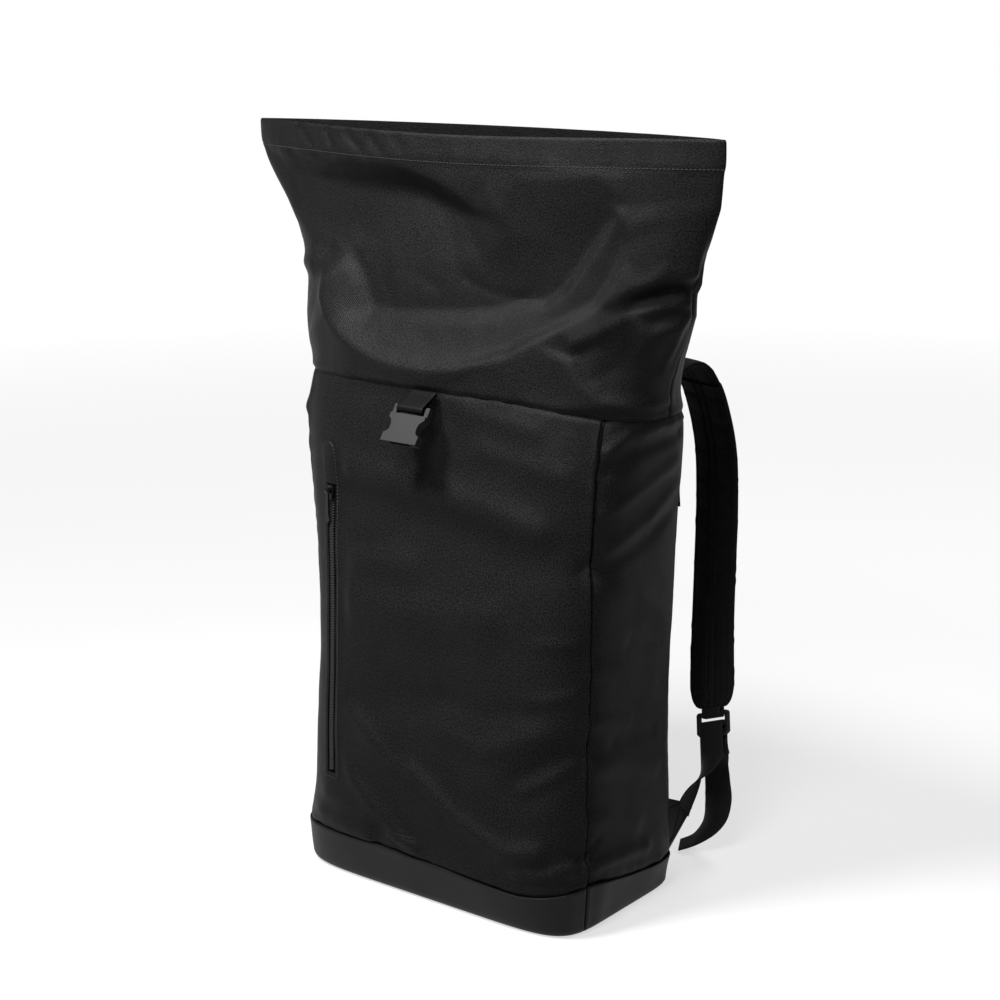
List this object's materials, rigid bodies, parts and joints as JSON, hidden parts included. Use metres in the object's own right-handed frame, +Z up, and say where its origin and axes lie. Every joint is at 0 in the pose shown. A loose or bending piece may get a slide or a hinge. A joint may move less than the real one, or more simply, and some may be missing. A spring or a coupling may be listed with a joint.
{
  "type": "roll-top backpack",
  "caption": "Soft black roll-top backpack standing upright with its collar unrolled, a front zip pocket, a front buckle half, padded shoulder straps and a smooth base boot.",
  "frame": {"origin": "the point of the flat underside about which the base is drawn, under the middle of the bag", "axes": "+Z up towards the collar mouth, -Y out of the front panel with the zip and buckle, +X to the right seen from the front"},
  "size_m": [0.4934, 0.3118, 0.6731],
  "materials": {
    "shell_cloth": "matt black fine-weave polyester with a soft sheen on its folds",
    "padded_cloth": "matt black padded cloth",
    "coated_base": "smooth coated black with a soft gradient sheen",
    "webbing": "black flat-woven webbing",
    "zip_tape": "black zip tape",
    "zip_coil": "black moulded zip coil",
    "zip_metal": "black lacquered slider and pull",
    "grey_plastic": "mid grey moulded plastic",
    "black_plastic": "black moulded plastic",
    "pull_tab": "dark grey pull tab"
  },
  "bodies": {
    "bag": {"base_boot": "coated_base", "front_panel": "shell_cloth", "side_panel_right": "shell_cloth", "side_panel_left": "shell_cloth", "back_panel": "padded_cloth", "collar_front": "shell_cloth", "collar_back": "shell_cloth", "zip_tape": "zip_tape", "zip_chain": "zip_coil", "zip_slider": "zip_metal", "buckle_webbing": "webbing", "buckle_socket": "grey_plastic", "closure_strap": "webbing", "closure_plug": "grey_plastic", "side_pull": "pull_tab", "strap_yoke_right": "shell_cloth", "strap_pad_right": "padded_cloth", "strap_tab_right": "webbing", "ladder_lock_right": "black_plastic", "anchor_tab_right": "shell_cloth", "adjuster_webbing_right": "webbing", "strap_yoke_left": "shell_cloth", "strap_pad_left": "padded_cloth", "strap_tab_left": "webbing", "ladder_lock_left": "black_plastic", "anchor_tab_left": "shell_cloth", "adjuster_webbing_left": "webbing"},
    "pull": {"zip_pull": "zip_metal"}
  },
  "joints": [
    {"name": "zip_pull_swing", "type": "hinge", "parent": "bag", "child": "pull", "pos_m": [-0.11434, -0.09195, 0.35588], "axis": [-0.9727, 0.2321, 0], "range_deg": [0, 150]}
  ]
}
